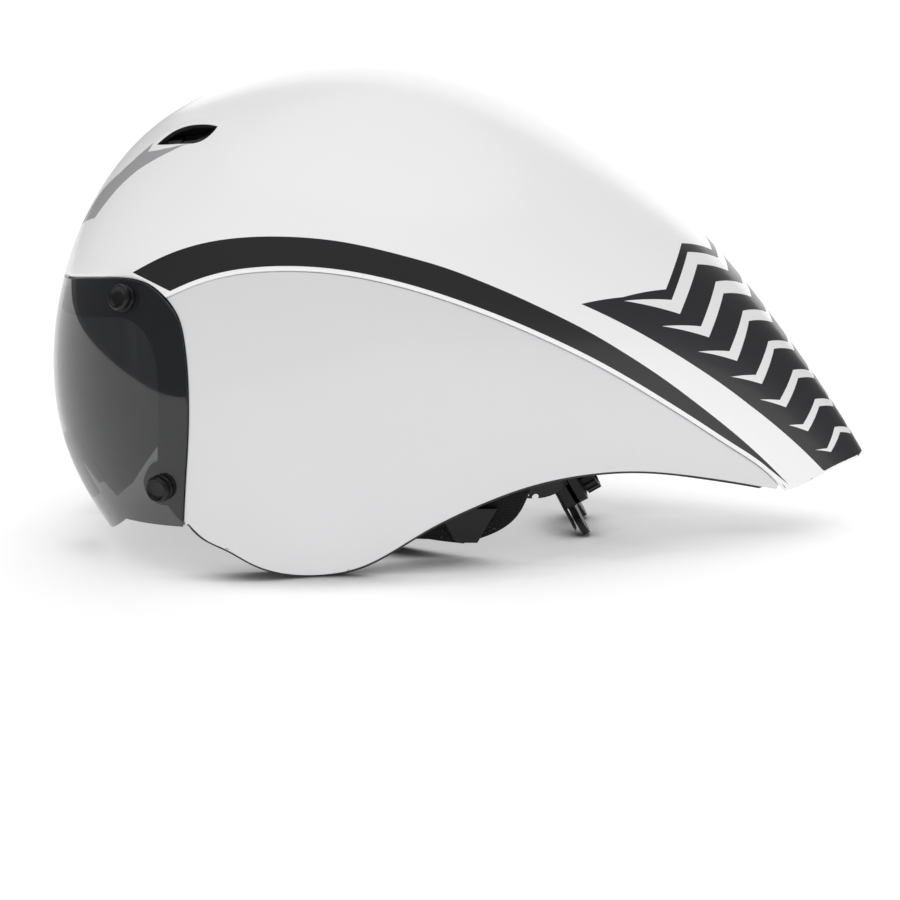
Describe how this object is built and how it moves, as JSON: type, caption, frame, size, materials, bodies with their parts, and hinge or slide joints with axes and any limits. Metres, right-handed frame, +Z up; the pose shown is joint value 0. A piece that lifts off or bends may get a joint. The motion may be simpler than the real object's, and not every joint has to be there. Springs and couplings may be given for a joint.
{
  "type": "aero time trial helmet",
  "caption": "Pointed aero helmet with a smoke visor on magnet buttons, a head hollow with pads, a dial-tightened cradle and a buckled chin strap.",
  "frame": {"origin": "centre of the bounding box in plan, at floor level under the ear covers", "axes": "+X towards the tail, -X the way the visor faces, +Y towards the wearer's right, +Z up"},
  "size_m": [0.3584, 0.1946, 0.2088],
  "materials": {
    "white_shell": "gloss white lacquer",
    "side_shell": "gloss white lacquer, a shade darker",
    "smoke_lens": "polished smoke grey polycarbonate",
    "black_plastic": "fine moulded grain",
    "magnet": "nickel plated",
    "nose_rubber": "soft satin",
    "foam": "expanded bead foam",
    "pad_fabric": "brushed knit over foam",
    "webbing": "woven polyester"
  },
  "bodies": {
    "helmet": {"upper_shell": "white_shell", "left_side_shell": "side_shell", "right_side_shell": "side_shell", "visor_frame": "black_plastic", "frame_magnets": "magnet", "brow_liner": "foam", "crown_liner": "foam", "left_cheek_liner": "foam", "right_cheek_liner": "foam", "tail_liner": "foam", "brow_pad": "pad_fabric", "crown_pad": "pad_fabric", "left_side_pad": "pad_fabric", "right_side_pad": "pad_fabric", "left_temple_pin": "black_plastic", "right_temple_pin": "black_plastic", "strap_studs": "black_plastic", "left_front_strap": "webbing", "right_front_strap": "webbing", "left_rear_strap": "webbing", "right_rear_strap": "webbing", "left_divider": "black_plastic", "right_divider": "black_plastic", "left_chin_strap": "webbing", "right_chin_strap": "webbing", "buckle_socket": "black_plastic"},
    "visor": {"lens": "smoke_lens", "nose_strip": "nose_rubber", "button_left_upper": "black_plastic", "button_left_lower": "black_plastic", "button_right_upper": "black_plastic", "button_right_lower": "black_plastic", "button_magnets": "magnet"},
    "fit_cradle": {"cradle": "black_plastic", "nape_pad": "pad_fabric"},
    "left_fit_arm": {"left_arm": "black_plastic"},
    "right_fit_arm": {"right_arm": "black_plastic"},
    "fit_dial": {"dial": "black_plastic", "pinion": "black_plastic"},
    "tongue": {"buckle_tongue": "black_plastic"}
  },
  "joints": [
    {"name": "visor_release", "type": "slide", "parent": "helmet", "child": "visor", "axis": [-0.9806, 0, -0.1961], "range_m": [0, 0.015]},
    {"name": "cradle_tilt", "type": "hinge", "parent": "helmet", "child": "fit_cradle", "pos_m": [-0.045, 0, 0.0627], "axis": [0, 1, 0], "range_deg": [-5, 5]},
    {"name": "dial_turn", "type": "hinge", "parent": "fit_cradle", "child": "fit_dial", "pos_m": [0.04601, 0, 0.02142], "axis": [-0.866, 0, -0.5], "range_deg": [0, 65.4]},
    {"name": "left_arm_slide", "type": "slide", "parent": "fit_cradle", "child": "left_fit_arm", "axis": [0, 1, 0], "range_m": [0, 0.004]},
    {"name": "right_arm_slide", "type": "slide", "parent": "fit_cradle", "child": "right_fit_arm", "axis": [0, -1, 0], "range_m": [0, 0.004]},
    {"name": "tongue_release", "type": "slide", "parent": "helmet", "child": "tongue", "axis": [0, 1, 0], "range_m": [0, 0.02], "deforming": ["right_chin_strap"]}
  ],
  "couplings": [
    {"joint": "left_arm_slide", "follows": "dial_turn", "m_per_rad": 0.0035},
    {"joint": "right_arm_slide", "follows": "dial_turn", "m_per_rad": 0.0035}
  ]
}
